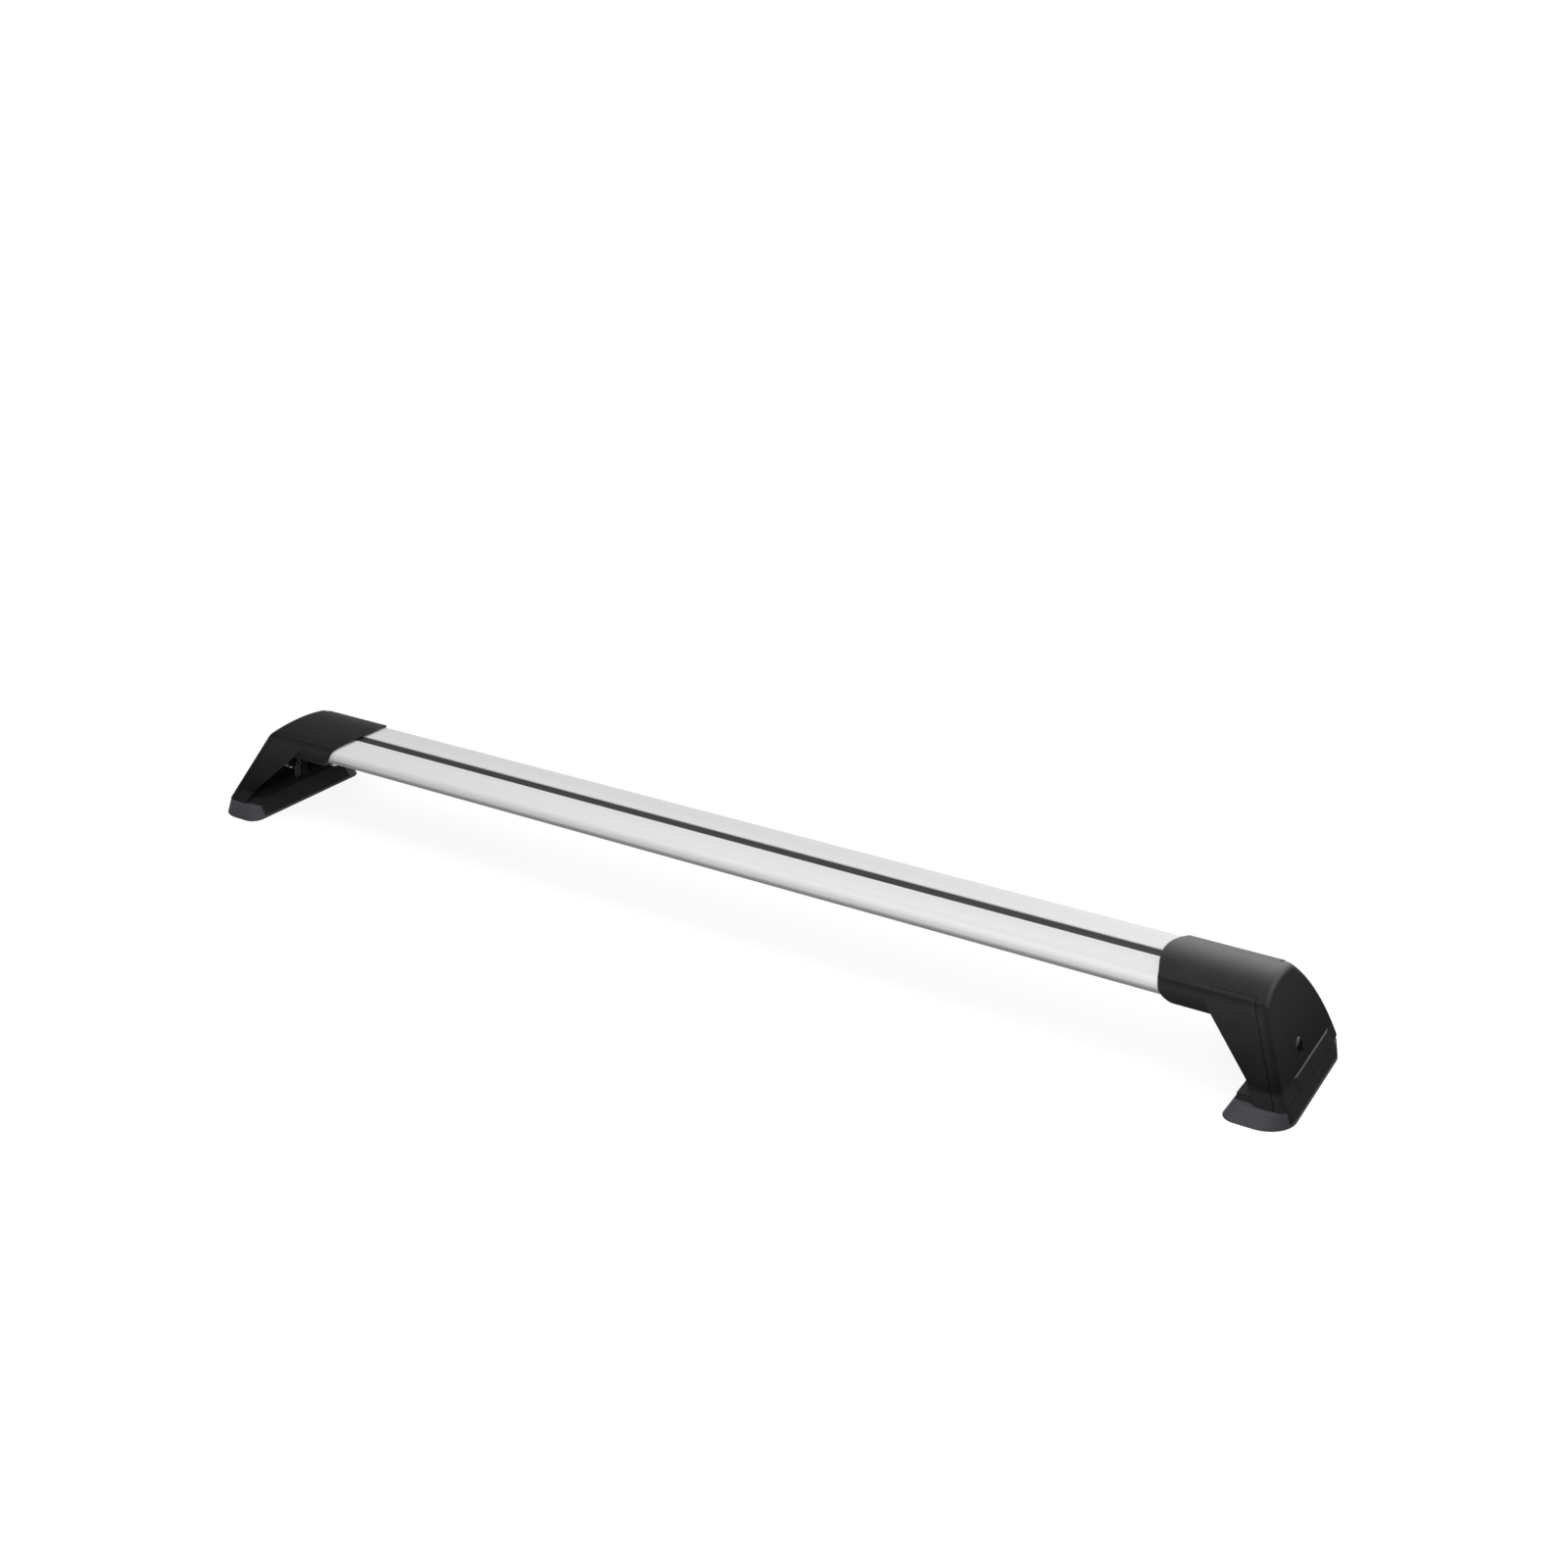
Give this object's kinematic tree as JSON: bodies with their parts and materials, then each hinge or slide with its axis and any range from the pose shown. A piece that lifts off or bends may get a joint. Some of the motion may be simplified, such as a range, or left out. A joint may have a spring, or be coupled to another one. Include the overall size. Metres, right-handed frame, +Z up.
{
  "type": "roof rack crossbar",
  "caption": "Low aerofoil aluminium roof bar with a rubber-filled accessory slot, carried at each end by a flared black foot on a rubber pad, closed by a lockable end cover.",
  "frame": {"origin": "on the surface under the pads, midway between the two feet and across the pads", "axes": "+X along the bar, +Y from the leading edge to the trailing edge, +Z up"},
  "size_m": [1.136, 0.156, 0.0869],
  "materials": {
    "bar": "satin anodised",
    "strip": "matte",
    "leg": "fine grain",
    "cover": "fine grain",
    "pad": "matte",
    "steel": "zinc plated",
    "dark_steel": "black",
    "lock_body": "satin",
    "lock_core": "nickel plated"
  },
  "bodies": {
    "frame": {"crossbar": "bar", "slot_strip": "strip", "right_leg": "leg", "right_base_pad": "pad", "right_nut_plate": "steel", "right_bar_bolts": "steel", "right_bolt_washers": "steel", "left_leg": "leg", "left_base_pad": "pad", "left_nut_plate": "steel", "left_bar_bolts": "steel", "left_bolt_washers": "steel"},
    "right_cover": {"right_end_cover": "cover", "right_lock_housing": "lock_body", "right_lock_nut": "lock_body"},
    "right_lock": {"right_lock_core": "lock_core", "right_lock_tongue": "dark_steel", "right_tongue_screw": "dark_steel"},
    "left_cover": {"left_end_cover": "cover", "left_lock_housing": "lock_body", "left_lock_nut": "lock_body"},
    "left_lock": {"left_lock_core": "lock_core", "left_lock_tongue": "dark_steel", "left_tongue_screw": "dark_steel"}
  },
  "joints": [
    {"name": "right_cover_slide", "type": "slide", "parent": "frame", "child": "right_cover", "axis": [1, 0, 0], "range_m": [0, 0.12]},
    {"name": "right_lock_turn", "type": "hinge", "parent": "right_cover", "child": "right_lock", "pos_m": [0.53, 0, 0.0365], "axis": [1, 0, 0], "range_deg": [0, 90]},
    {"name": "left_cover_slide", "type": "slide", "parent": "frame", "child": "left_cover", "axis": [-1, 0, 0], "range_m": [0, 0.12]},
    {"name": "left_lock_turn", "type": "hinge", "parent": "left_cover", "child": "left_lock", "pos_m": [-0.53, 0, 0.0365], "axis": [1, 0, 0], "range_deg": [0, 90]}
  ]
}
